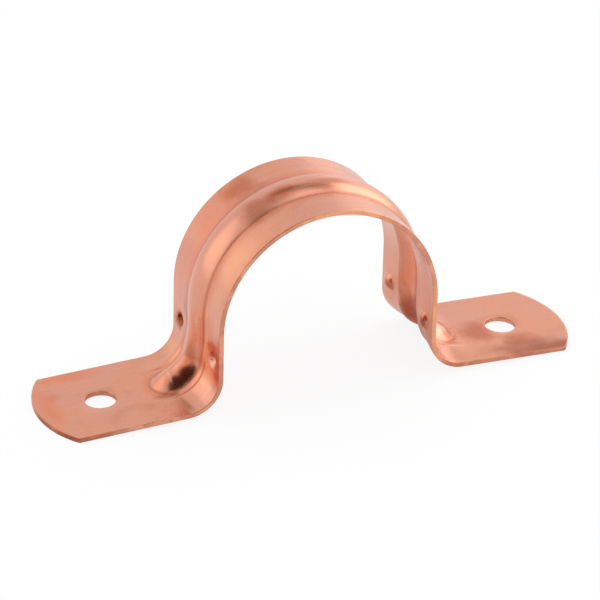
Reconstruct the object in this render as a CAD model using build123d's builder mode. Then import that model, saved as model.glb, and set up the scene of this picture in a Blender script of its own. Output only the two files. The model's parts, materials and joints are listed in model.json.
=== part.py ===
"""Two-hole tube strap, pressed and folded from one strip of copper sheet.

Lengths are in millimetres and angles in degrees. X runs from foot to foot, Y along the tube and Z up. The origin
lies midway between the feet, level with their tips. The feet droop outwards, so that the screws pull them flat, and
the tips are dressed level by tip_land, so that the loose strap stands without rocking.
"""
import os
from math import acos, cos, degrees, radians, sin

from build123d import *

# Strip
sheet = 0.5
strip_width = 12.7
strap_length = 58.0
end_radius = 10.3
corner_radius = 0.6
edge_break = 0.06

# Saddle round the tube
tube_diameter = 22.22
tube_clearance = 0.32
axis_height = 9.2

# Feet
bend_radius = 3.25
foot_droop = 2.0
tip_land = 0.02
hole_diameter = 3.2
hole_spacing = 44.45

# Stiffening bead
bead_width = 4.4
bead_height = 0.65
bead_blend = 0.5

# Dimples that hold the tube
dimple_radius = 0.75
dimple_depth = 0.55
dimple_rim = 0.3
dimple_offset = 4.45
dimple_drop = 3.55

# Places that follow from those sizes
skin_radius = tube_diameter / 2 + tube_clearance + sheet
droop = radians(foot_droop)
foot_run = strap_length / 2 - skin_radius - bend_radius
bend_z = (bend_radius + sheet + foot_run * sin(droop)) / cos(droop) - tip_land
foot_out = Vector(-cos(droop), 0, -sin(droop))
foot_up = Vector(-sin(droop), 0, cos(droop))
bend_centre = Vector(-skin_radius - bend_radius, 0, bend_z)
bend_end = bend_centre - foot_up * bend_radius
crown_radius = (bead_width ** 2 / 4 + bead_height ** 2) / (2 * bead_height)
bead_turn = acos(1 - bead_height / (crown_radius + bead_blend))
bead_reach = (crown_radius + bead_blend) * sin(bead_turn)
dimple_x = skin_radius + dimple_radius - dimple_depth
form_depth = dimple_depth + 2 * sheet

# Planes of the left half's cross-sections, each drawn with the skin's outward side up
arch_foot = Plane((-skin_radius, 0, axis_height), x_dir=(0, 1, 0), z_dir=(0, 0, 1))
leg_foot = Plane((-skin_radius, 0, bend_z), x_dir=(0, 1, 0), z_dir=(0, 0, 1))
nose_root = Plane(bend_end, x_dir=(0, 1, 0), z_dir=-foot_out)


def form_section(inset):
    """Draw the form's section, with the bead raised in the middle of its upper skin, moved in by inset."""
    blend = bead_blend + inset
    turn = degrees(bead_turn)
    floor = -inset - form_depth
    with BuildLine() as profile:
        band = Line((-strip_width, -inset), (-bead_reach, -inset))
        rise = JernArc(band @ 1, band % 1, blend, turn)
        crown = JernArc(rise @ 1, rise % 1, crown_radius - inset, -2 * turn)
        fall = JernArc(crown @ 1, crown % 1, blend, turn)
        Polyline(fall @ 1, (strip_width, -inset), (strip_width, floor), (-strip_width, floor), band @ 0)
    make_face(profile.edges())


def pressed_form(inset):
    """Make the form that the sheet is pressed on, with bead and dimples, its upper skin moved in by inset."""
    with BuildPart() as form:
        with BuildSketch(arch_foot):
            form_section(inset)
        revolve(axis=Axis((0, 0, axis_height), (0, 1, 0)), revolution_arc=90)
        with BuildSketch(leg_foot):
            form_section(inset)
        extrude(amount=axis_height - bend_z)
        with BuildSketch(leg_foot):
            form_section(inset)
        revolve(axis=Axis(bend_centre, (0, 1, 0)), revolution_arc=90 - foot_droop)
        with BuildSketch(Plane(bend_end - foot_up * inset, x_dir=foot_out, z_dir=foot_up)):
            Rectangle(strap_length / 2, 2 * strip_width, align=(Align.MIN, Align.CENTER))
            Circle(bead_reach, mode=Mode.SUBTRACT)
        extrude(amount=-form_depth)
        with BuildSketch(nose_root):
            form_section(inset)
            Rectangle(bead_reach, strap_length, align=(Align.MIN, Align.CENTER), mode=Mode.INTERSECT)
        revolve(axis=Axis(bend_end, foot_up), revolution_arc=180)
        mirror(about=Plane.YZ)
        with Locations((0, 0, axis_height - dimple_drop)):
            with GridLocations(2 * dimple_x, 2 * dimple_offset, 2, 2):
                Sphere(dimple_radius + inset, rotation=(0, 90, 0), mode=Mode.SUBTRACT)
        fillet(form.edges(Select.NEW), dimple_rim)
    return form.part


# The sheet is what lies between the upper skin and the same skin moved in by its thickness
with BuildPart() as strap:
    add(pressed_form(0))
    add(pressed_form(sheet), mode=Mode.SUBTRACT)
    with BuildSketch() as outline:
        SlotOverall(strap_length, 2 * end_radius)
        Rectangle(strap_length, strip_width, mode=Mode.INTERSECT)
        fillet(outline.vertices(), corner_radius)
    extrude(amount=2 * (axis_height + skin_radius), both=True, mode=Mode.INTERSECT)
    chamfer(strap.edges(Select.NEW), edge_break)
    with Locations((0, 0, axis_height)):
        with GridLocations(hole_spacing, 0, 2, 1):
            Hole(hole_diameter / 2)
    split(bisect_by=Plane.XY)

strap.part.label = "strap"
os.makedirs("parts", exist_ok=True)
export_step(strap.part, "parts/strap.step")
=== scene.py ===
"""Dress the copper tube strap: its pressed sheet, its copper finishes, and the studio that it is shown in."""

import json
import logging
from collections.abc import Callable
from dataclasses import dataclass
from enum import Enum
from math import acos, asin, atan2, copysign, cos, pi, radians, sin, sqrt
from typing import Any

import bmesh
import bpy
from mathutils import Matrix, Vector

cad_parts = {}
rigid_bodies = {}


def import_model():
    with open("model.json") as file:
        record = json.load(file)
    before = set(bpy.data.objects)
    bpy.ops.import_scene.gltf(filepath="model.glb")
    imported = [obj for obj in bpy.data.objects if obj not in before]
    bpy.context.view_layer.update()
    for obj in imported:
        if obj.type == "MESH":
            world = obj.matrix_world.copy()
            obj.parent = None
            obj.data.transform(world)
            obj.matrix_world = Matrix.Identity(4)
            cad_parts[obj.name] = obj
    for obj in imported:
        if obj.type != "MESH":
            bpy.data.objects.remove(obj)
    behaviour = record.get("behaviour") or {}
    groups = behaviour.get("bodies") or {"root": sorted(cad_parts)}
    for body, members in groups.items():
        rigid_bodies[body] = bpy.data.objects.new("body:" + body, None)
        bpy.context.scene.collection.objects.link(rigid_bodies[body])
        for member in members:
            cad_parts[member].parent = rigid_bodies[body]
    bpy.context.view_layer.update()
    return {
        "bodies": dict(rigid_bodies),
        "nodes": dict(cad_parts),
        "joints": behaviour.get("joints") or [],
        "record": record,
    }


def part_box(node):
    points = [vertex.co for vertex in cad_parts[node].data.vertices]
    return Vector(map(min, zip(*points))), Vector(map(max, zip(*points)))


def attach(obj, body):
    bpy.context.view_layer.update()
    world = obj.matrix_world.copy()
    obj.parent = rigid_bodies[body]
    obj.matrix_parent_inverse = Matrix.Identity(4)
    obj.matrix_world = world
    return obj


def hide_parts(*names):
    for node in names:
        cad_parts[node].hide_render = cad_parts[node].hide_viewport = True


MM = 0.001
NOISE_MIDDLE = 0.5

Colour = tuple[float, float, float, float]
Triple = tuple[float, float, float]
Socket = bpy.types.NodeSocket
Tree = bpy.types.NodeTree

WHITE: Colour = (1, 1, 1, 1)

log = logging.getLogger("strap")


class Element(Enum):
    """What a selection in edit mode is made of."""

    VERTEX = "VERT"
    EDGE = "EDGE"
    FACE = "FACE"


class Skin(Enum):
    """The two sides of the sheet."""

    OUTER = "outer"
    INNER = "inner"


class Tone(Enum):
    """The colours of the patches laid on the copper: stain colours, and the colours of painted shade, painted
    highlights and painted reflections.
    """

    # UMBER is painted shade deep in a dimple.
    UMBER = (0.20, 0.045, 0.017, 1)
    BROWN = (0.38, 0.115, 0.06, 1)
    RUST = (0.46, 0.10, 0.045, 1)
    ORANGE = (0.74, 0.215, 0.10, 1)
    # PEACH and PALE are painted highlights.
    PEACH = (0.87, 0.395, 0.22, 1)
    # AMBER is a painted orange reflection.
    AMBER = (0.86, 0.375, 0.185, 1)
    PALE = (0.78, 0.46, 0.34, 1)


def bump(share: float, power: float = 2) -> float:
    """Give the height of a bump that is 1 high, at a share of its reach from its middle."""
    return max(1 - share ** 2, 0) ** power


def new_plane(name: str, size: float) -> bpy.types.Object:
    """Add a flat square at the origin, with nothing else selected.

    Args:
        name: Name of the object and its mesh.
        size: Length of its sides.

    Returns:
        The new object.
    """
    bpy.ops.object.select_all(action="DESELECT")
    bpy.ops.mesh.primitive_plane_add(size=size)
    plane = bpy.context.object
    plane.name = plane.data.name = name
    return plane


@dataclass
class Bench:
    """Edit-mode tools that work on one mesh object.

    Attributes:
        piece: The object, which is in edit mode whenever a tool is used.
    """

    piece: bpy.types.Object

    def pick(self, element: Element, wanted: Callable[[Vector], bool]) -> None:
        """Select the elements that lie where they are wanted, and nothing else.

        Args:
            element: Whether vertices, edges or faces are picked.
            wanted: Says of an element's middle whether it is picked.
        """
        bpy.ops.mesh.select_mode(type=element.value)
        bpy.ops.mesh.select_all(action="DESELECT")
        mesh = bmesh.from_edit_mesh(self.piece.data)
        items = {Element.VERTEX: mesh.verts, Element.EDGE: mesh.edges, Element.FACE: mesh.faces}
        for item in items[element]:
            if wanted(self._middle(item)):
                item.select_set(True)
        mesh.select_flush_mode()
        bmesh.update_edit_mesh(self.piece.data)

    def picked(self) -> list[Vector]:
        """Give the middles of the edges that are selected."""
        mesh = bmesh.from_edit_mesh(self.piece.data)
        return [self._middle(edge) for edge in mesh.edges if edge.select]

    def shape(self, moved: Callable[[Vector], Vector], picked_only: bool = False) -> None:
        """Press vertices to new places.

        Args:
            moved: Gives a vertex's new place from its present one.
            picked_only: Whether only the selected vertices move.
        """
        mesh = bmesh.from_edit_mesh(self.piece.data)
        for vertex in mesh.verts:
            if vertex.select or not picked_only:
                vertex.co = moved(vertex.co)
        bmesh.update_edit_mesh(self.piece.data)

    def apply(self, kind: str, **settings: Any) -> None:
        """Add a modifier in object mode and apply it.

        Args:
            kind: The modifier's type.
            settings: The modifier's properties by name.
        """
        bpy.ops.object.mode_set(mode="OBJECT")
        modifier = self.piece.modifiers.new(kind.title(), kind)
        for name, value in settings.items():
            setattr(modifier, name, value)
        bpy.ops.object.modifier_apply(modifier=modifier.name)
        bpy.ops.object.mode_set(mode="EDIT")

    @staticmethod
    def _middle(item: Any) -> Vector:
        """Give the middle of a vertex, edge or face."""
        corners = [item] if isinstance(item, bmesh.types.BMVert) else item.verts
        return sum((corner.co for corner in corners), Vector()) / len(corners)


@dataclass(frozen=True)
class Press:
    """A form pressed up in sheet: a round crown, and a blend from it to the flat.

    Attributes:
        crown: Radius of the crown.
        blend: Radius of the blend.
        height: Height of the crown over the flat.
    """

    crown: float
    blend: float
    height: float

    @property
    def turn(self) -> float:
        """Slope, in radians, where the crown meets the blend."""
        return acos(1 - self.height / (self.crown + self.blend))

    @property
    def reach(self) -> float:
        """Distance from the middle of the form to the flat."""
        return (self.crown + self.blend) * sin(self.turn)

    def rise(self, distance: float) -> float:
        """Work out the skin's height over the flat.

        Args:
            distance: Distance from the middle of the form.

        Returns:
            The height there.
        """
        if distance >= self.reach:
            return 0.0
        if distance > self.crown * sin(self.turn):
            return self.blend - sqrt(self.blend ** 2 - (self.reach - distance) ** 2)
        return self.height - self.crown + sqrt(self.crown ** 2 - distance ** 2)


@dataclass
class Strap:
    """The strap: one strip of copper sheet, modelled as half of its upper skin, then mirrored and thickened.

    Attributes:
        length: Length from tip to tip.
        width: Width of the strip.
        tube_radius: Radius of the arch's inner skin.
        axis_height: Height of the tube's axis.
        hole_spacing: Distance between the screw holes.
        hole_radius: Radius of the screw holes.
        hole_margin: Width of the ring of faces round a screw hole.
        sheet: Thickness of the sheet.
        bend_radius: Radius of the upper skin in the bends over the feet.
        foot_droop: Angle, in radians, that the feet fall towards their tips.
        tip_land: Height that the tips are dressed level by.
        end_radius: Radius of the feet's round ends.
        corner_radius: Radius of the corners beside the round ends.
        edge_round: Width of the rounding along the cut edges.
        edge_angle: Angle, in radians, from which an edge is rounded.
        smooth_angle: Angle, in radians, up to which faces are shaded as one.
        bead: The bead's cross-section on the upper skin of the arch and legs.
        knuckle_height: Height of the knuckle that it swells to in the bends.
        knuckle_reach: Distance from the middle of the knuckle to the bands beside it.
        knuckle_power: How steep the knuckle's flanks are, where 1 is a flat dome and 2 a soft bump.
        swell_start: Distance above a bend at which it starts to swell.
        swell_end: Distance round the bend at which it has swollen.
        nose_run: Distance from a bend's end to the tip of the bead's nose.
        nose_length: Length of the nose, over which the bead comes down to the foot.
        skirt_height: How far the knuckle draws up the bands beside it.
        skirt_reach: Distance from the middle of the strip at which the bands lie undisturbed.
        groove_offset: Distance from the middle of the strip to the grooves beside the knuckle.
        groove_reach: Half the width of those grooves.
        groove_depth: Depth of those grooves.
        dimple_radius: Radius of the punch that makes the dimples.
        dimple_rim: Radius of the dimples' rims.
        dimple_depth: Depth of the dimples.
        dimple_patch: Radius of the patch of finer faces round a dimple.
        dish_reach: Radius of the soft dish that the sheet gives to round a dimple.
        dish_depth: Depth of that dish.
        dimple_offset: Distance of the dimples from the middle of the strip.
        dimple_drop: Distance of the dimples under the tube's axis.
        slack: How far from its place a picked point or face may lie.
        weld: How far apart two points may lie and be taken as one.
    """

    length: float
    width: float
    tube_radius: float
    axis_height: float
    hole_spacing: float
    hole_radius: float
    hole_margin: float = 0.7 * MM
    sheet: float = 0.5 * MM
    bend_radius: float = 3.25 * MM
    foot_droop: float = radians(2)
    tip_land: float = 0.02 * MM
    end_radius: float = 10.3 * MM
    corner_radius: float = 0.6 * MM
    edge_round: float = 0.08 * MM
    edge_angle: float = radians(50)
    smooth_angle: float = radians(40)
    bead: Press = Press(crown=4.198 * MM, blend=0.35 * MM, height=0.65 * MM)
    knuckle_height: float = 1.25 * MM
    knuckle_reach: float = 2.25 * MM
    knuckle_power: float = 1.42
    swell_start: float = 3.0 * MM
    swell_end: float = 3.0 * MM
    nose_run: float = 1.7 * MM
    nose_length: float = 2.25 * MM
    skirt_height: float = 0.5 * MM
    skirt_reach: float = 6.2 * MM
    groove_offset: float = 2.72 * MM
    groove_reach: float = 0.45 * MM
    groove_depth: float = 0.1 * MM
    dimple_radius: float = 0.9 * MM
    dimple_rim: float = 0.25 * MM
    dimple_depth: float = 0.42 * MM
    dimple_patch: float = 1.8 * MM
    dish_reach: float = 2.1 * MM
    dish_depth: float = 0.12 * MM
    dimple_offset: float = 4.45 * MM
    dimple_drop: float = 3.55 * MM
    slack: float = 0.02 * MM
    weld: float = 0.002 * MM

    # Numbers of steps in the mesh
    band_steps = 24
    blend_steps = 6
    crown_steps = 22
    arch_steps = 45
    leg_steps = 30
    bend_steps = 32
    nose_steps = 18
    foot_steps = 32
    corner_steps = 6
    edge_steps = 3
    dimple_cuts = 3

    # Number of the cut edges' material
    edge_slot = 1

    def __post_init__(self) -> None:
        """Work out the places that follow from the sizes, all on the left half."""
        self.skin_radius = self.tube_radius + self.sheet
        self.crown_z = self.axis_height + self.skin_radius
        self.foot_out = Vector((-cos(self.foot_droop), 0, -sin(self.foot_droop)))
        self.foot_up = Vector((-sin(self.foot_droop), 0, cos(self.foot_droop)))
        run = self.length / 2 - self.skin_radius - self.bend_radius
        fall = (self.bend_radius + self.sheet + run * sin(self.foot_droop)) / cos(self.foot_droop)
        self.bend_centre = Vector((-self.skin_radius - self.bend_radius, 0, fall - self.tip_land))
        self.bend_end = self.bend_centre - self.foot_up * self.bend_radius
        self.bend_angle = pi / 2 - self.foot_droop
        self.bend_run = self.bend_radius * self.bend_angle
        self.nose_middle = self.bend_run + self.nose_run - self.nose_length
        self.foot_length = (self.length / 2 + self.bend_end.x) / cos(self.foot_droop)
        self.hole_run = (self.hole_spacing / 2 + self.bend_end.x) / cos(self.foot_droop)
        self.hole_clear = self.hole_radius + self.hole_margin
        self.dimple_z = self.axis_height - self.dimple_drop
        self.punches = {
            Skin.OUTER: Press(self.dimple_radius, self.dimple_rim, self.dimple_depth),
            Skin.INNER: Press(self.dimple_radius + self.sheet, self.dimple_rim, self.dimple_depth),
        }

    @classmethod
    def from_frame(cls, frame: dict[str, Any]) -> "Strap":
        """Take the strap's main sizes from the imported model.


        Returns:
            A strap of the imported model's size.
        """
        low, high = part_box("strap")
        mounts = {mount["name"]: mount for mount in frame["record"]["mounts"]}
        holes = mounts["screw_holes"]["dims"]
        saddle = mounts["tube_saddle"]
        return cls(
            length=high.x - low.x,
            width=high.y - low.y,
            tube_radius=saddle["dims"]["r_mm"] * MM,
            axis_height=saddle["pos_m"][2],
            hole_spacing=holes["spacing_x_mm"] * MM,
            hole_radius=holes["hole_r_mm"] * MM,
        )

    def build(self, skin: bpy.types.Material, edge: bpy.types.Material) -> bpy.types.Object:
        """Model the strap.

        Args:
            skin: Finish of the sheet's two skins.
            edge: Finish of its cut edges.

        Returns:
            The finished mesh object, at the origin.
        """
        bench = self._start()
        bench.piece.data.materials.append(skin)
        bench.piece.data.materials.append(edge)
        self._draw_section()
        self._sweep_half()
        bench.shape(self._swollen)
        self._round_end(bench)
        self._pierce_foot(bench)
        self._mirror(bench)
        self._thicken(bench)
        self._press_dimples(bench)
        self._level_tips(bench)
        self._ease_edges(bench)
        return bench.piece

    def _start(self) -> Bench:
        """Put down one point at the front edge of the arch's top, in edit mode.

        Returns:
            The bench that holds the new piece.
        """
        piece = new_plane("copper_strap", self.sheet)
        bpy.ops.object.mode_set(mode="EDIT")
        bpy.ops.mesh.select_mode(type=Element.VERTEX.value)
        bpy.ops.mesh.merge(type="CENTER")
        bpy.ops.transform.translate(value=(0, -self.width / 2, self.crown_z))
        return Bench(piece)

    def _draw_section(self) -> None:
        """Draw the upper skin's section across the top of the arch: band, bead, band."""
        reach, turn = self.bead.reach, self.bead.turn
        along = Vector((1, 0, 0))
        blend_z = self.crown_z + self.bead.blend
        bead_z = self.crown_z + self.bead.height - self.bead.crown
        band = Vector((0, self.width / 2 - reach, 0))
        self._extrude(band, self.band_steps)
        self._spin((0, -reach, blend_z), along, turn, self.blend_steps)
        self._spin((0, 0, bead_z), along, -2 * turn, self.crown_steps)
        self._spin((0, reach, blend_z), along, turn, self.blend_steps)
        self._extrude(band, self.band_steps)

    def _sweep_half(self) -> None:
        """Sweep the section down the left half: arch, leg, bend and foot."""
        across = Vector((0, 1, 0))
        bpy.ops.mesh.select_all(action="SELECT")
        self._spin((0, 0, self.axis_height), across, -pi / 2, self.arch_steps)
        self._extrude(Vector((0, 0, self.bend_centre.z - self.axis_height)), self.leg_steps)
        self._spin(self.bend_centre, across, self.bend_angle, self.bend_steps)
        self._extrude(self.foot_out * self.bead.reach, self.nose_steps)
        self._extrude(self.foot_out * (self.foot_length - self.bead.reach), self.foot_steps)

    def _swollen(self, place: Vector) -> Vector:
        """Press a point of the leg, bend or foot to the bead's height.

        Args:
            place: The point on the swept half.

        Returns:
            Its new place.
        """
        if place.z > self.axis_height:
            return place
        spoke = place - self.bend_centre
        angle = atan2(-spoke.z, spoke.x)
        if angle <= 0:
            height = self._bead_rise(self.bend_centre.z - place.z, place.y)
            return Vector((-self.skin_radius - height, place.y, place.z))
        across = Vector((0, place.y, 0))
        if angle < self.bend_angle:
            radius = self.bend_radius - self._bead_rise(self.bend_radius * angle, place.y)
            return self.bend_centre + across + radius * Vector((cos(angle), 0, -sin(angle)))
        run = self._foot_run(place)
        height = self._bead_rise(self.bend_run + run, place.y)
        return self.bend_end + across + self.foot_out * run + self.foot_up * height

    def _bead_rise(self, run: float, across: float) -> float:
        """Work out how far the bead, its knuckle and the bands beside that are raised under the arch.

        Args:
            run: Distance from the bend's start towards the tip.
            across: Distance from the middle of the strip.

        Returns:
            The height over the plain strip.
        """
        share = min(max((run + self.swell_start) / (self.swell_end + self.swell_start), 0), 1)
        share *= share * (3 - 2 * share)
        past = max(run - self.nose_middle, 0) * (self.knuckle_reach / self.nose_length)
        distance = Vector((past, across)).length
        knuckle = self.knuckle_height * bump(distance / self.knuckle_reach, self.knuckle_power)
        along = (run - self.bend_run / 2) / self.bend_run
        aside = max(abs(across) - self.knuckle_reach, 0) / (self.skirt_reach - self.knuckle_reach)
        groove = self.groove_depth * bump((abs(across) - self.groove_offset) / self.groove_reach)
        skirt = bump(along) * (self.skirt_height * bump(aside) - groove)
        return (1 - share) * self.bead.rise(distance) + share * knuckle + skirt

    def _round_end(self, bench: Bench) -> None:
        """Draw the foot's outer rows back to its round end, and round the two corners.

        Args:
            bench: Holds the swept half.
        """
        bench.shape(self._drawn_back)
        corner = self.bend_end + self.foot_out * self._end_run(self.width / 2)

        def at_corner(place: Vector) -> bool:
            """Say whether a place lies at one of the two corners."""
            return abs(place.x - corner.x) < self.slack and abs(abs(place.y) - self.width / 2) < self.slack

        bench.pick(Element.VERTEX, at_corner)
        turn = asin(self.width / 2 / self.end_radius)
        bpy.ops.mesh.bevel(
            affect="VERTICES",
            offset=self.corner_radius * (1 - sin(turn)) / cos(turn),
            segments=self.corner_steps,
            clamp_overlap=False,
        )

    def _drawn_back(self, place: Vector) -> Vector:
        """Slide a point beyond the hole along the foot, in proportion, so that the last row is the round end.

        Args:
            place: The point on the swept half.

        Returns:
            Its new place.
        """
        start = self.hole_run + self.hole_clear
        run = self._foot_run(place)
        if run <= start or place.x > self.bend_centre.x:
            return place
        share = (run - start) / (self.foot_length - start)
        return place + self.foot_out * (start + share * (self._end_run(place.y) - start) - run)

    def _pierce_foot(self, bench: Bench) -> None:
        """Cut a square window in the foot, and draw its edge in to the round screw hole.

        Args:
            bench: Holds the swept half.
        """
        centre = self.bend_end + self.foot_out * self.hole_run
        bench.pick(Element.FACE, self._in_window)
        bpy.ops.mesh.region_to_loop()
        rim = bench.picked()
        bench.pick(Element.FACE, self._in_window)
        bpy.ops.mesh.delete(type="FACE")
        bench.pick(Element.EDGE, lambda place: any((place - spot).length < self.weld for spot in rim))
        bpy.ops.mesh.extrude_edges_move()
        bench.shape(lambda place: centre + (place - centre).normalized() * self.hole_radius, picked_only=True)

    def _mirror(self, bench: Bench) -> None:
        """Make the right half, join the two, and turn every face outwards.

        Args:
            bench: Holds the finished left half.
        """
        bench.apply(
            "MIRROR", use_axis=(True, False, False), use_mirror_merge=True, merge_threshold=self.weld
        )
        bpy.ops.mesh.select_all(action="SELECT")
        bpy.ops.mesh.remove_doubles(threshold=self.weld)
        bpy.ops.mesh.normals_make_consistent(inside=False)
        mesh = bmesh.from_edit_mesh(bench.piece.data)
        top = max(mesh.faces, key=lambda face: face.calc_center_median().z)
        if top.normal.z < 0:
            bpy.ops.mesh.flip_normals()

    def _thicken(self, bench: Bench) -> None:
        """Give the skin the sheet's thickness, inwards, with the cut edges in their own material.

        Args:
            bench: Holds the whole upper skin.
        """
        bench.apply(
            "SOLIDIFY",
            thickness=self.sheet,
            offset=-1,
            use_even_offset=True,
            material_offset_rim=self.edge_slot,
        )

    def _press_dimples(self, bench: Bench) -> None:
        """Punch the four dimples into the legs, with their bumps on the inner skin.

        Args:
            bench: Holds the thick strap.
        """
        bench.pick(Element.FACE, self._near_dimple)
        bpy.ops.mesh.subdivide(number_cuts=self.dimple_cuts)
        bench.shape(self._punched)

    def _punched(self, place: Vector) -> Vector:
        """Push a point of either skin towards the tube, where a dimple or its dish lies.

        Args:
            place: The point on the thick strap.

        Returns:
            Its new place.
        """
        distance = self._from_dimple(place)
        if distance >= self.dish_reach or abs(place.x) > self.skin_radius + self.sheet:
            return place
        skin = Skin.OUTER if abs(place.x) > self.skin_radius - self.sheet / 2 else Skin.INNER
        depth = self.dish_depth * bump(distance / self.dish_reach) + self.punches[skin].rise(distance)
        return place - Vector((copysign(depth, place.x), 0, 0))

    def _level_tips(self, bench: Bench) -> None:
        """Flatten what lies below the ground at the feet's tips."""
        bench.pick(Element.VERTEX, lambda place: place.z < 0)
        bpy.ops.transform.resize(value=(1, 1, 0), center_override=(0, 0, 0))

    def _ease_edges(self, bench: Bench) -> None:
        """Round the cut edges a little and shade the sheet smooth.

        Args:
            bench: Holds the thick strap.
        """
        bench.apply(
            "BEVEL",
            width=self.edge_round,
            segments=self.edge_steps,
            limit_method="ANGLE",
            angle_limit=self.edge_angle,
            use_clamp_overlap=False,
            material=self.edge_slot,
        )
        bpy.ops.object.mode_set(mode="OBJECT")
        bpy.ops.object.shade_smooth_by_angle(angle=self.smooth_angle)

    def _foot_run(self, place: Vector) -> float:
        """Give a place's distance along the foot from the bend's end."""
        return (place - self.bend_end).dot(self.foot_out)

    def _end_run(self, across: float) -> float:
        """Give the distance from the bend's end to the round end, at a distance from the strip's middle."""
        return self.foot_length - self.end_radius + sqrt(self.end_radius ** 2 - across ** 2)

    def _in_window(self, place: Vector) -> bool:
        """Say whether a place lies in the square window round the screw hole."""
        return abs(self._foot_run(place) - self.hole_run) < self.hole_clear and abs(place.y) < self.hole_clear

    def _from_dimple(self, place: Vector) -> float:
        """Give a place's distance from the nearest dimple's middle, measured on the leg."""
        return Vector((abs(place.y) - self.dimple_offset, place.z - self.dimple_z)).length

    def _near_dimple(self, place: Vector) -> bool:
        """Say whether a place lies on the leg in the patch of finer faces round a dimple."""
        return abs(place.x) < self.skin_radius + self.slack and self._from_dimple(place) < self.dimple_patch

    @staticmethod
    def _extrude(way: Vector, steps: int) -> None:
        """Extrude what is selected the whole way, in equal steps."""
        for _ in range(steps):
            bpy.ops.mesh.extrude_region_move(TRANSFORM_OT_translate={"value": way / steps})

    @staticmethod
    def _spin(centre: Vector | Triple, axis: Vector, angle: float, steps: int) -> None:
        """Spin what is selected by the right-hand rule, which the operator turns against."""
        bpy.ops.mesh.spin(steps=steps, angle=-angle, center=centre, axis=axis)


class Nodes:
    """Adds and links the nodes of one material, world or node group."""

    def __init__(self, tree: Tree) -> None:
        """Take the tree that the nodes go into, and clear it."""
        self.tree = tree
        tree.nodes.clear()

    def add(self, kind: str, inputs: dict[str | int, Any] | None = None, **settings: Any) -> bpy.types.Node:
        """Add a node.

        Args:
            kind: The node's type.
            inputs: A value, or a socket to link from, for each input by name or number.
            settings: The node's properties by name.

        Returns:
            The new node.
        """
        node = self.tree.nodes.new(kind)
        for name, value in settings.items():
            setattr(node, name, value)
        for key, value in (inputs or {}).items():
            if isinstance(value, Socket):
                self.tree.links.new(value, node.inputs[key])
            else:
                node.inputs[key].default_value = value
        return node

    def math(self, operation: str, *values: Any) -> Socket:
        """Work on numbers, or sockets to link from, in order."""
        return self.add("ShaderNodeMath", dict(enumerate(values)), operation=operation).outputs[0]

    def scaled(self, value: Socket, factor: float) -> Socket:
        """Multiply a value by a number."""
        return self.math("MULTIPLY", value, factor)

    def vector(self, operation: str, first: Socket, second: Socket) -> Socket:
        """Work on two vectors."""
        return self.add("ShaderNodeVectorMath", {0: first, 1: second}, operation=operation).outputs[0]

    def length(self, vector: Socket) -> Socket:
        """Measure a vector."""
        return self.add("ShaderNodeVectorMath", {0: vector}, operation="LENGTH").outputs["Value"]

    def noise(self, place: Socket, scale: Any, detail: float, distortion: float = 0.0) -> Socket:
        """Make noise at a place, of a scale that is a number or a socket to link from."""
        inputs = {"Vector": place, "Scale": scale, "Detail": detail, "Distortion": distortion}
        return self.add("ShaderNodeTexNoise", inputs).outputs[0]

    def mix(self, share: Socket, first: Any, second: Any) -> Socket:
        """Mix two colours, or sockets to link from, with a share of the second."""
        return self.add("ShaderNodeMix", {0: share, 6: first, 7: second}, data_type="RGBA").outputs[2]

    def ramp(
        self, value: Socket, low: float, high: float, to_low: float = 0.0, to_high: float = 1.0
    ) -> Socket:
        """Map a value smoothly from the range low to high to the range to_low to to_high."""
        inputs = {0: value, 1: low, 2: high, 3: to_low, 4: to_high}
        return self.add("ShaderNodeMapRange", inputs, interpolation_type="SMOOTHSTEP").outputs[0]

    def effect(self, group: Tree, **inputs: Any) -> Socket:
        """Place a shared effect, with a value, or a socket to link from, for each input by name."""
        return self.add("ShaderNodeGroup", inputs, node_tree=group).outputs[0]


def new_material(name: str) -> tuple[bpy.types.Material, Nodes]:
    """Start a material.

    Args:
        name: The material's name.

    Returns:
        The material, and its nodes, of which there are none yet.
    """
    material = bpy.data.materials.new(name)
    material.use_nodes = True
    return material, Nodes(material.node_tree)


@dataclass(frozen=True)
class Layer:
    """One layer that a shared effect lays on a finish.

    Attributes:
        weight: How strongly it shows, up to 1.
        inputs: The effect's inputs by name.
    """

    weight: float
    inputs: dict[str, float]


@dataclass(frozen=True)
class ColourPatch:
    """One patch of colour laid on the sheet: a stain, or painted shade, a painted highlight or a painted
    reflection.

    Attributes:
        place: Where it lies, in millimetres.
        spread: How far it reaches along X, Y and Z, in millimetres.
        weight: How strongly it shows, up to 1.
        tone: Its colour.
    """

    place: Triple
    spread: Triple
    weight: float
    tone: Tone

    @property
    def inputs(self) -> dict[str, Triple]:
        """Inputs of the patch's effect, in metres."""
        sizes = {"Place": self.place, "Spread": self.spread}
        return {name: tuple(size * MM for size in triple) for name, triple in sizes.items()}


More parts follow.
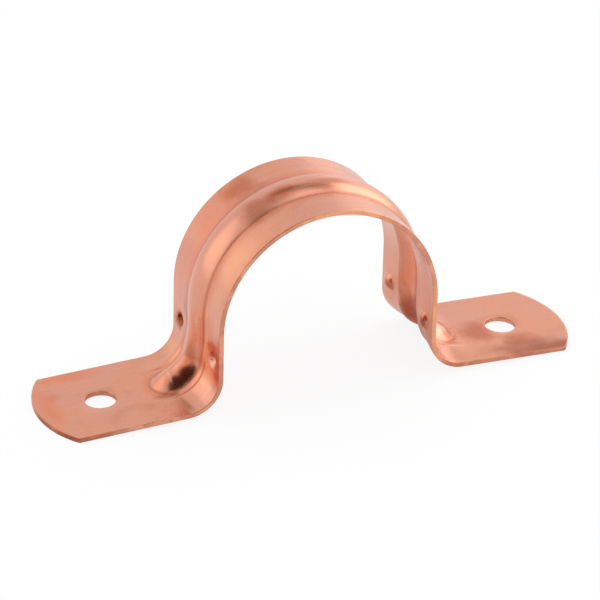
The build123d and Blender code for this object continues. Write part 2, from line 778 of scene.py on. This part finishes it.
class Effects:
    """The surface effects that the finishes share, as node groups with named sockets."""

    # Noise at which a patch of tarnish starts with no cover, and how far full cover lowers it
    bare_level = 0.8
    cover_gain = 0.5

    def __init__(self) -> None:
        """Build each group once."""
        self.lines = self._rolled_lines()
        self.stain = self._stain()
        self.colour_patch = self._colour_patch()
        self.crease = self._crease()

    def lay_patches(self, nodes: Nodes, place: Socket, colour: Socket, stains_and_painted_light: tuple[ColourPatch, ...]) -> Socket:
        """Lay patches of stain, painted shade, painted highlight and painted reflection on a colour, each
        over the ones before it.

        Args:
            nodes: The finish's nodes.
            place: The place on the surface.
            colour: The colour under the smears.
            stains_and_painted_light: The patches in order.

        Returns:
            The colour with the patches on it.
        """
        for colour_patch in stains_and_painted_light:
            mask = nodes.effect(self.colour_patch, Vector=place, **colour_patch.inputs)
            colour = nodes.mix(nodes.scaled(mask, colour_patch.weight), colour, colour_patch.tone.value)
        return colour

    @staticmethod
    def _group(name: str, vectors: tuple[str, ...], numbers: tuple[str, ...] = ()) -> tuple[Nodes, Any]:
        """Start a group that puts out a mask.

        Args:
            name: The group's name.
            vectors: Names of the inputs that take vectors.
            numbers: Names of the inputs that take numbers.

        Returns:
            The group's nodes, and its inputs by name as sockets to link from.
        """
        tree = bpy.data.node_groups.new(name, "ShaderNodeTree")
        for kind, names in (("NodeSocketVector", vectors), ("NodeSocketFloat", numbers)):
            for socket in names:
                tree.interface.new_socket(name=socket, in_out="INPUT", socket_type=kind)
        tree.interface.new_socket(name="Mask", in_out="OUTPUT", socket_type="NodeSocketFloat")
        nodes = Nodes(tree)
        return nodes, nodes.add("NodeGroupInput").outputs

    @staticmethod
    def _ragged(nodes: Nodes, share: Socket, noise: Socket) -> Socket:
        """Roughen a distance with noise, so that what it bounds gets a ragged edge."""
        return nodes.math("ADD", share, nodes.math("SUBTRACT", noise, NOISE_MIDDLE))

    def _rolled_lines(self) -> Tree:
        """Make the fine lines that rolling leaves along a strip: close together across Y, long elsewhere.

        Returns:
            The group.
        """
        nodes, source = self._group("rolled_lines", ("Vector",), ("Across", "Along"))
        along, across = source["Along"], source["Across"]
        scale = nodes.add("ShaderNodeCombineXYZ", {0: along, 1: across, 2: along}).outputs[0]
        place = nodes.vector("MULTIPLY", source["Vector"], scale)
        lines = nodes.ramp(nodes.noise(place, scale=1.0, detail=3.0), low=0.3, high=0.7)
        nodes.add("NodeGroupOutput", {"Mask": lines})
        return nodes.tree

    def _stain(self) -> Tree:
        """Make soft patches of tarnish all over a surface.

        Returns:
            The group.
        """
        nodes, source = self._group("stain", ("Vector",), ("Scale", "Cover"))
        noise = nodes.noise(source["Vector"], source["Scale"], detail=5.0, distortion=0.6)
        level = nodes.math("SUBTRACT", self.bare_level, nodes.scaled(source["Cover"], self.cover_gain))
        patches = nodes.ramp(nodes.math("SUBTRACT", noise, level), low=0.0, high=0.18)
        nodes.add("NodeGroupOutput", {"Mask": patches})
        return nodes.tree

    def _colour_patch(self) -> Tree:
        """Make the mask of one ragged patch round a place.

        Returns:
            The group.
        """
        nodes, source = self._group("colour_patch", ("Vector", "Place", "Spread"))
        offset = nodes.vector("SUBTRACT", source["Vector"], source["Place"])
        share = nodes.length(nodes.vector("DIVIDE", offset, source["Spread"]))
        ragged = self._ragged(nodes, share, nodes.noise(source["Vector"], scale=500.0, detail=4.0))
        nodes.add("NodeGroupOutput", {"Mask": nodes.ramp(ragged, low=0.2, high=1.0, to_low=1.0, to_high=0.0)})
        return nodes.tree

    def _crease(self) -> Tree:
        """Make a ragged band along the creases on both sides of a bead along X and round its noses, which
        masks the painted shade in the creases and the painted orange reflection beside them.

        Returns:
            The group.
        """
        nodes, source = self._group("crease", ("Vector",), ("Offset", "Width", "Nose"))
        axes = nodes.add("ShaderNodeSeparateXYZ", {0: source["Vector"]}).outputs
        beyond = nodes.math("SUBTRACT", nodes.math("ABSOLUTE", axes[0]), source["Nose"])
        past = nodes.math("MAXIMUM", beyond, 0.0)
        reach = nodes.length(nodes.add("ShaderNodeCombineXYZ", {0: past, 1: axes[1]}).outputs[0])
        beside = nodes.math("SUBTRACT", reach, source["Offset"])
        share = nodes.math("DIVIDE", nodes.math("ABSOLUTE", beside), source["Width"])
        ragged = self._ragged(nodes, share, nodes.noise(source["Vector"], scale=300.0, detail=3.0))
        nodes.add("NodeGroupOutput", {"Mask": nodes.ramp(ragged, low=0.0, high=1.0, to_low=1.0, to_high=0.0)})
        return nodes.tree


@dataclass(frozen=True)
class RolledCopper:
    """Rolled copper sheet with a satin skin, faint rolling lines, a little tarnish, and painted shade,
    highlights and reflections laid on in patches.

    Attributes:
        copper: Colour of the clean metal.
        shade: Colour along the rolling lines.
        warm: Colour of the patches that have gone a little orange.
        tarnish: Colour of the tarnish, and of the painted shade in the bead's creases.
        roughness: Roughness of the clean metal.
        line_roughness: How much rougher the fine lines are.
        dirt_roughness: How much rougher the tarnish and the creases' painted shade are.
        relief: Strength of the lines' relief.
        relief_depth: Depth of the lines' relief.
        broad_relief: Share of the broad lines in the relief.
        broad_lines: The broad rolling lines.
        fine_lines: The fine rolling lines.
        patches: The patches that have gone a little orange.
        stain: The patches of tarnish.
        crease: The painted shade in the creases at the foot of the bead.
        glow: The painted orange reflection beside the bead, where copper reflects copper.
        stains_and_painted_light: The patches of stain, painted shade, painted highlight and painted
            reflection that lie on it, in order.
    """

    # Distance from the middle at which the bead's noses start
    nose_start = 14.6 * MM

    copper: Colour = (0.71, 0.318, 0.228, 1)
    shade: Colour = (0.62, 0.255, 0.165, 1)
    warm: Colour = (0.76, 0.30, 0.165, 1)
    tarnish: Colour = (0.46, 0.14, 0.065, 1)
    roughness: float = 0.23
    line_roughness: float = 0.06
    dirt_roughness: float = 0.2
    relief: float = 0.02
    relief_depth: float = 0.02 * MM
    broad_relief: float = 0.6
    broad_lines: Layer = Layer(0.2, {"Across": 1500.0, "Along": 30.0})
    fine_lines: Layer = Layer(0.1, {"Across": 7000.0, "Along": 70.0})
    patches: Layer = Layer(0.4, {"Scale": 140.0, "Cover": 0.75})
    stain: Layer = Layer(0.2, {"Scale": 230.0, "Cover": 0.5})
    # Painted shade along the creases at the foot of the bead.
    crease: Layer = Layer(0.5, {"Offset": 2.2 * MM, "Width": 0.28 * MM, "Nose": nose_start})
    # Painted orange reflection beside the bead.
    glow: Layer = Layer(0.45, {"Offset": 2.6 * MM, "Width": 0.7 * MM, "Nose": nose_start})
    stains_and_painted_light: tuple[ColourPatch, ...] = (
        # Right foot: stains round the hole, darker towards the front edge, and painted shade over the nose's
        # highlight
        ColourPatch((19.4, -0.7, 0.8), (3.5, 2.9, 2.0), 0.65, Tone.RUST),
        ColourPatch((23.0, -3.4, 0.6), (3.0, 1.8, 2.0), 0.55, Tone.RUST),
        ColourPatch((23.0, -5.2, 0.5), (7.5, 2.4, 2.0), 0.6, Tone.BROWN),
        ColourPatch((27.0, -5.9, 0.5), (8.0, 1.2, 2.0), 0.95, Tone.BROWN),
        # Painted shade that dims the highlight on the nose
        ColourPatch((15.8, -1.1, 1.4), (1.3, 1.6, 1.5), 1.0, Tone.BROWN),
        ColourPatch((15.2, 0.4, 2.2), (1.5, 1.4, 1.5), 0.9, Tone.BROWN),
        ColourPatch((22.0, -4.6, 0.6), (4.0, 1.6, 2.0), 0.3, Tone.BROWN),
        # Left foot
        ColourPatch((-24.0, 5.6, 0.5), (5.0, 1.5, 2.0), 0.6, Tone.ORANGE),
        ColourPatch((-27.6, 0.0, 0.5), (1.6, 6.0, 2.0), 0.55, Tone.ORANGE),
        # Arch: painted shade on the crown, orange and brown on the back band, painted highlights on the front
        # flank and band
        ColourPatch((-6.0, -1.2, 20.1), (3.4, 2.3, 2.6), 0.7, Tone.BROWN),
        ColourPatch((-3.6, -0.7, 21.2), (3.0, 1.3, 1.6), 0.6, Tone.RUST),
        ColourPatch((-6.2, 4.6, 19.2), (2.8, 2.2, 3.0), 0.8, Tone.ORANGE),
        ColourPatch((-5.9, 4.5, 19.6), (3.2, 2.2, 2.2), 0.5, Tone.BROWN),
        ColourPatch((-9.2, 4.4, 16.6), (2.2, 2.4, 2.8), 0.4, Tone.ORANGE),
        ColourPatch((-10.4, -0.9, 16.3), (2.5, 1.4, 4.0), 0.4, Tone.PEACH),
        ColourPatch((-9.0, -4.4, 15.5), (6.0, 2.4, 7.0), 0.7, Tone.PEACH),
        ColourPatch((2.4, -0.5, 21.6), (4.0, 0.9, 1.2), 0.3, Tone.RUST),
        ColourPatch((-4.8, 2.3, 20.2), (3.2, 1.4, 2.2), 0.35, Tone.BROWN),
        # Right leg and nose: painted orange reflection and painted shade in the inner groove, painted shade
        # on the inner bumps, a painted highlight on the nose
        ColourPatch((11.8, 0.0, 9.0), (1.6, 2.4, 12.0), 0.9, Tone.ORANGE),
        ColourPatch((12.3, 1.0, 3.4), (2.2, 2.6, 4.0), 0.9, Tone.RUST),
        ColourPatch((11.3, -4.6, 9.0), (1.2, 2.0, 7.0), 0.3, Tone.ORANGE),
        ColourPatch((10.9, 4.1, 5.3), (1.2, 1.4, 1.4), 0.95, Tone.RUST),
        ColourPatch((10.9, -4.7, 5.7), (1.1, 1.1, 1.1), 0.9, Tone.BROWN),
        ColourPatch((14.2, -1.2, 2.0), (1.0, 1.0, 1.2), 0.9, Tone.PALE),
        ColourPatch((10.6, -4.6, 12.0), (1.6, 2.2, 5.0), 0.25, Tone.BROWN),
        # Left leg, bend and nose: painted highlights, painted orange reflections beside the bead, and painted
        # shade in the dimples, over the knuckle and at the nose
        ColourPatch((-12.4, -3.9, 3.6), (1.8, 2.3, 2.3), 0.85, Tone.PEACH),
        ColourPatch((-12.9, 5.0, 2.5), (1.6, 1.8, 1.8), 0.8, Tone.PEACH),
        ColourPatch((-16.0, -0.4, 1.8), (1.7, 1.7, 1.4), 0.25, Tone.ORANGE),
        ColourPatch((-11.6, 4.45, 5.65), (1.7, 1.6, 1.7), 1.0, Tone.RUST),
        ColourPatch((-11.5, 4.45, 5.5), (1.8, 1.5, 1.5), 0.85, Tone.UMBER),
        ColourPatch((-11.6, -4.45, 5.65), (1.2, 0.9, 0.9), 0.1, Tone.RUST),
        ColourPatch((-15.9, -2.0, 1.1), (2.2, 0.8, 1.0), 0.7, Tone.BROWN),
        ColourPatch((-11.9, -2.8, 7.0), (1.2, 0.9, 5.0), 0.95, Tone.AMBER),
        ColourPatch((-11.6, -4.4, 7.0), (1.2, 1.7, 1.3), 0.85, Tone.ORANGE),
        ColourPatch((-12.6, -0.4, 6.8), (1.6, 1.4, 4.0), 0.7, Tone.ORANGE),
        ColourPatch((-12.9, -0.8, 4.7), (1.4, 1.2, 2.2), 0.65, Tone.BROWN),
        ColourPatch((-14.2, -1.4, 3.0), (2.4, 1.2, 2.6), 0.9, Tone.RUST),
        ColourPatch((-12.2, -1.6, 7.6), (1.0, 0.8, 3.0), 0.9, Tone.PALE),
        ColourPatch((-11.9, 2.2, 7.6), (1.4, 1.8, 4.5), 0.45, Tone.BROWN),
        ColourPatch((-11.8, -3.4, 8.4), (1.3, 2.1, 2.8), 0.75, Tone.ORANGE),
    )

    def material(self, effects: Effects) -> bpy.types.Material:
        """Make the finish.

        Args:
            effects: The effects that the finishes share.

        Returns:
            The material.
        """
        material, nodes = new_material("rolled_copper")
        place = nodes.add("ShaderNodeTexCoord").outputs["Object"]
        broad = nodes.effect(effects.lines, Vector=place, **self.broad_lines.inputs)
        fine = nodes.effect(effects.lines, Vector=place, **self.fine_lines.inputs)
        patches = nodes.effect(effects.stain, Vector=place, **self.patches.inputs)
        stain = nodes.effect(effects.stain, Vector=place, **self.stain.inputs)
        crease = nodes.effect(effects.crease, Vector=place, **self.crease.inputs)
        glow = nodes.effect(effects.crease, Vector=place, **self.glow.inputs)
        broad_shade = nodes.scaled(broad, self.broad_lines.weight)
        fine_shade = nodes.scaled(fine, self.fine_lines.weight)
        colour = nodes.mix(nodes.math("ADD", broad_shade, fine_shade), self.copper, self.shade)
        colour = nodes.mix(nodes.scaled(patches, self.patches.weight), colour, self.warm)
        # Painted orange reflection beside the bead.
        colour = nodes.mix(nodes.scaled(glow, self.glow.weight), colour, Tone.ORANGE.value)
        # Patches of stain, painted shade, painted highlight and painted reflection.
        colour = effects.lay_patches(nodes, place, colour, self.stains_and_painted_light)
        stained = nodes.scaled(stain, self.stain.weight)
        # Stains, and the painted shade in the bead's creases, pull the colour towards the tarnish colour.
        stain_and_crease_shade = nodes.math("MAXIMUM", stained, nodes.scaled(crease, self.crease.weight))
        colour = nodes.mix(stain_and_crease_shade, colour, self.tarnish)
        rough = nodes.math("MULTIPLY_ADD", fine, self.line_roughness, self.roughness)
        rough = nodes.math("MULTIPLY_ADD", stain_and_crease_shade, self.dirt_roughness, rough)
        height = nodes.math("MULTIPLY_ADD", broad, self.broad_relief, fine)
        relief = {"Height": height, "Strength": self.relief, "Distance": self.relief_depth}
        normal = nodes.add("ShaderNodeBump", relief).outputs[0]
        look = {"Base Color": colour, "Metallic": 1.0, "Roughness": rough, "Normal": normal}
        shader = nodes.add("ShaderNodeBsdfPrincipled", look)
        nodes.add("ShaderNodeOutputMaterial", {"Surface": shader.outputs[0]})
        return material


@dataclass(frozen=True)
class ShearedCopper:
    """The cut edges of the sheet, rougher and browner than its skin, with painted shade and painted
    highlights laid on in patches.

    Attributes:
        copper: Colour of the cut metal.
        tarnish: Colour of the tarnish on it.
        roughness: Roughness of the cut.
        dirt_roughness: How much rougher the tarnish is.
        stain: The patches of tarnish.
        stains_and_painted_light: The patches of stain, painted shade and painted highlight that lie on it, in
            order.
    """

    copper: Colour = (0.78, 0.35, 0.23, 1)
    tarnish: Colour = (0.42, 0.165, 0.10, 1)
    roughness: float = 0.34
    dirt_roughness: float = 0.15
    stain: Layer = Layer(0.35, {"Scale": 420.0, "Cover": 0.8})
    stains_and_painted_light: tuple[ColourPatch, ...] = (
        # Painted shade on the left foot's tip edges, where they meet the floor
        ColourPatch((-26.4, -4.6, 0.3), (5.0, 4.0, 2.0), 1.0, Tone.BROWN),
        ColourPatch((-28.6, -1.0, 0.3), (1.6, 4.5, 2.0), 0.8, Tone.BROWN),
        # Painted highlights on the front edges of the arch and the right leg
        ColourPatch((3.0, -6.4, 20.8), (9.0, 1.2, 4.0), 0.9, Tone.PEACH),
        ColourPatch((12.0, -6.4, 6.0), (2.0, 1.2, 7.0), 0.9, Tone.PEACH),
        # Darker along the right foot's front edge
        ColourPatch((15.0, -6.4, 1.0), (3.5, 1.2, 1.6), 0.35, Tone.BROWN),
        ColourPatch((25.0, -6.4, 0.6), (9.0, 1.2, 2.0), 0.35, Tone.BROWN),
    )

    def material(self, effects: Effects) -> bpy.types.Material:
        """Make the finish.

        Args:
            effects: The effects that the finishes share.

        Returns:
            The material.
        """
        material, nodes = new_material("sheared_copper")
        place = nodes.add("ShaderNodeTexCoord").outputs["Object"]
        stain = nodes.effect(effects.stain, Vector=place, **self.stain.inputs)
        colour = nodes.mix(nodes.scaled(stain, self.stain.weight), self.copper, self.tarnish)
        colour = effects.lay_patches(nodes, place, colour, self.stains_and_painted_light)
        rough = nodes.math("MULTIPLY_ADD", stain, self.dirt_roughness, self.roughness)
        look = {"Base Color": colour, "Metallic": 1.0, "Roughness": rough}
        shader = nodes.add("ShaderNodeBsdfPrincipled", look)
        nodes.add("ShaderNodeOutputMaterial", {"Surface": shader.outputs[0]})
        return material


@dataclass
class Panel:
    """One flat studio panel that faces the strap: a softbox or a flag.

    Attributes:
        name: The panel's name.
        azimuth: Its direction in degrees, from the back towards the right.
        elevation: Its height in degrees.
        width: Its width.
        height: Its height.
        brightness: How bright it looks, where 1 is white.
        tint: A flag's colour at full brightness.
        distance: How far off it stands.
    """

    name: str
    azimuth: float
    elevation: float
    width: float
    height: float
    brightness: float
    tint: Triple = (1.0, 1.0, 1.0)
    distance: float = 0.7

    @property
    def pose(self) -> Matrix:
        """Work out where the panel stands, with its face to the strap.

        Returns:
            The matrix that places it.
        """
        turn, lift = radians(self.azimuth), radians(self.elevation)
        way = Vector((sin(turn) * cos(lift), cos(turn) * cos(lift), sin(lift)))
        return Matrix.Translation(way * self.distance) @ way.to_track_quat("Z", "Y").to_matrix().to_4x4()

    def light(self) -> None:
        """Set the panel up as a softbox."""
        lamp = bpy.data.lights.new(self.name, "AREA")
        lamp.shape = "RECTANGLE"
        lamp.size, lamp.size_y = self.width, self.height
        lamp.energy = pi * self.width * self.height * self.brightness
        softbox = bpy.data.objects.new(self.name, lamp)
        softbox.matrix_world = self.pose
        bpy.context.scene.collection.objects.link(softbox)

    def flag(self) -> None:
        """Set the panel up as a plain card that only reflections see."""
        card = new_plane(self.name, 1)
        card.matrix_world = self.pose @ Matrix.Diagonal((self.width, self.height, 1, 1))
        card.visible_camera = card.visible_diffuse = card.visible_shadow = False
        material, nodes = new_material(self.name)
        glow = nodes.add("ShaderNodeEmission", {"Color": self.tint + (1,), "Strength": self.brightness})
        nodes.add("ShaderNodeOutputMaterial", {"Surface": glow.outputs[0]})
        card.data.materials.append(material)


@dataclass
class Studio:
    """A white sweep lit by softboxes, with dark flags for the metal to reflect.

    Attributes:
        floor_size: Width of the floor.
        shadow_radius: Distance from the strap up to which the floor keeps its shadow.
        clear_radius: Distance from the strap at which the floor is plain white.
        near_white: How plain the floor looks to the camera close to the strap, where 1 is plain white.
        near_mirror: How plain it looks there in reflections.
        paint: Colour of the floor.
        ambient: Strength of the light from all round.
        softboxes: The lamps.
        flags: The cards.
    """

    floor_size: float = 4.0
    shadow_radius: float = 0.04
    clear_radius: float = 0.12
    near_white: float = 0.88
    near_mirror: float = 0.3
    paint: Colour = (0.9, 0.9, 0.9, 1)
    ambient: float = 0.95
    softboxes: tuple[Panel, ...] = (
        Panel("key_softbox", 78, 29, 0.56, 0.56, 1.5),
        Panel("edge_softbox", 42, 12, 0.38, 0.28, 0.3),
        Panel("fill_softbox", -64, 22, 0.7, 0.5, 0.4),
        Panel("top_softbox", 95, 76, 0.36, 0.3, 0.45),
    )
    flags: tuple[Panel, ...] = (
        Panel("ceiling_flag", 28, 57, 0.55, 0.22, 0.45, (1.0, 0.8, 0.66)),
        Panel("camera_flag", -155, 46, 0.7, 0.84, 0.05, (1.0, 0.5, 0.3)),
        Panel("left_flag", -124, 20, 0.72, 0.68, 0.06, (1.0, 0.6, 0.4)),
    )

    def build(self) -> None:
        """Set up the floor, the lamps, the flags and the world."""
        self._lay_floor()
        for softbox in self.softboxes:
            softbox.light()
        for flag in self.flags:
            flag.flag()
        self._light_world()

    def _lay_floor(self) -> None:
        """Lay a white floor that keeps the strap's shadow and is plain white further off."""
        floor = new_plane("floor", self.floor_size)
        material, nodes = new_material("white_sweep")
        distance = nodes.length(nodes.add("ShaderNodeTexCoord").outputs["Object"])
        rays = nodes.add("ShaderNodeLightPath").outputs
        direct = nodes.ramp(distance, self.shadow_radius, self.clear_radius, to_low=self.near_white)
        mirrored = nodes.ramp(distance, self.shadow_radius, self.clear_radius, to_low=self.near_mirror)
        direct = nodes.math("MULTIPLY", rays["Is Camera Ray"], direct)
        mirrored = nodes.math("MULTIPLY", rays["Is Glossy Ray"], mirrored)
        plain = nodes.math("ADD", direct, mirrored)
        white = nodes.add("ShaderNodeEmission", {"Color": WHITE, "Strength": 1.0})
        paint = nodes.add("ShaderNodeBsdfDiffuse", {"Color": self.paint})
        mixed = nodes.add("ShaderNodeMixShader", {0: plain, 1: paint.outputs[0], 2: white.outputs[0]})
        nodes.add("ShaderNodeOutputMaterial", {"Surface": mixed.outputs[0]})
        floor.data.materials.append(material)

    def _light_world(self) -> None:
        """Make the surroundings white, and light the strap softly from all round."""
        world = bpy.data.worlds.new("white_studio")
        bpy.context.scene.world = world
        world.use_nodes = True
        nodes = Nodes(world.node_tree)
        rays = nodes.add("ShaderNodeLightPath").outputs
        seen = nodes.math("MAXIMUM", rays["Is Camera Ray"], rays["Is Glossy Ray"])
        seen = nodes.math("MAXIMUM", seen, rays["Is Transmission Ray"])
        soft = nodes.add("ShaderNodeBackground", {"Color": WHITE, "Strength": self.ambient})
        white = nodes.add("ShaderNodeBackground", {"Color": WHITE, "Strength": 1.0})
        mixed = nodes.add("ShaderNodeMixShader", {0: seen, 1: soft.outputs[0], 2: white.outputs[0]})
        nodes.add("ShaderNodeOutputWorld", {"Surface": mixed.outputs[0]})


@dataclass
class PhotoCamera:
    """The camera, at the angle that the photograph was taken from.

    Attributes:
        azimuth: Direction of the camera in degrees, from the front towards the right.
        elevation: Height of the camera in degrees.
        roll: Tilt of the picture in degrees.
        distance: Distance from the target.
        target: The point in the middle of the picture.
        lens: Focal length in millimetres, on a sensor 36 mm wide.
    """

    azimuth: float = -23.363
    elevation: float = 28.82
    roll: float = 1.42
    distance: float = 446.37 * MM
    target: Triple = (-0.57 * MM, 0.0, 8.025 * MM)
    lens: float = 263.08

    def build(self) -> None:
        """Set up the camera and make it the scene's own."""
        data = bpy.data.cameras.new("photo_camera")
        data.lens = self.lens
        camera = bpy.data.objects.new("photo_camera", data)
        turn = Matrix.Rotation(radians(self.azimuth), 4, "Z")
        tilt = Matrix.Rotation(radians(90 - self.elevation), 4, "X")
        roll = Matrix.Rotation(radians(self.roll), 4, "Z")
        back = Matrix.Translation((0, 0, self.distance))
        camera.matrix_world = Matrix.Translation(self.target) @ turn @ tilt @ roll @ back
        bpy.context.scene.collection.objects.link(camera)
        bpy.context.scene.camera = camera


def main() -> None:
    """Build the strap, dress it, and set up the studio and the camera round it."""
    logging.basicConfig(level=logging.INFO, format="%(name)s: %(message)s")
    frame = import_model()
    bpy.context.scene.view_settings.view_transform = "Standard"
    effects = Effects()
    strap = Strap.from_frame(frame).build(RolledCopper().material(effects), ShearedCopper().material(effects))
    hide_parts("strap")
    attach(strap, "root")
    log.info("%s has %d faces", strap.name, len(strap.data.polygons))
    Studio().build()
    log.info("the studio stands")
    camera = PhotoCamera()
    camera.build()
    log.info("the camera looks from %.1f degrees up", camera.elevation)


if __name__ == "__main__":
    main()
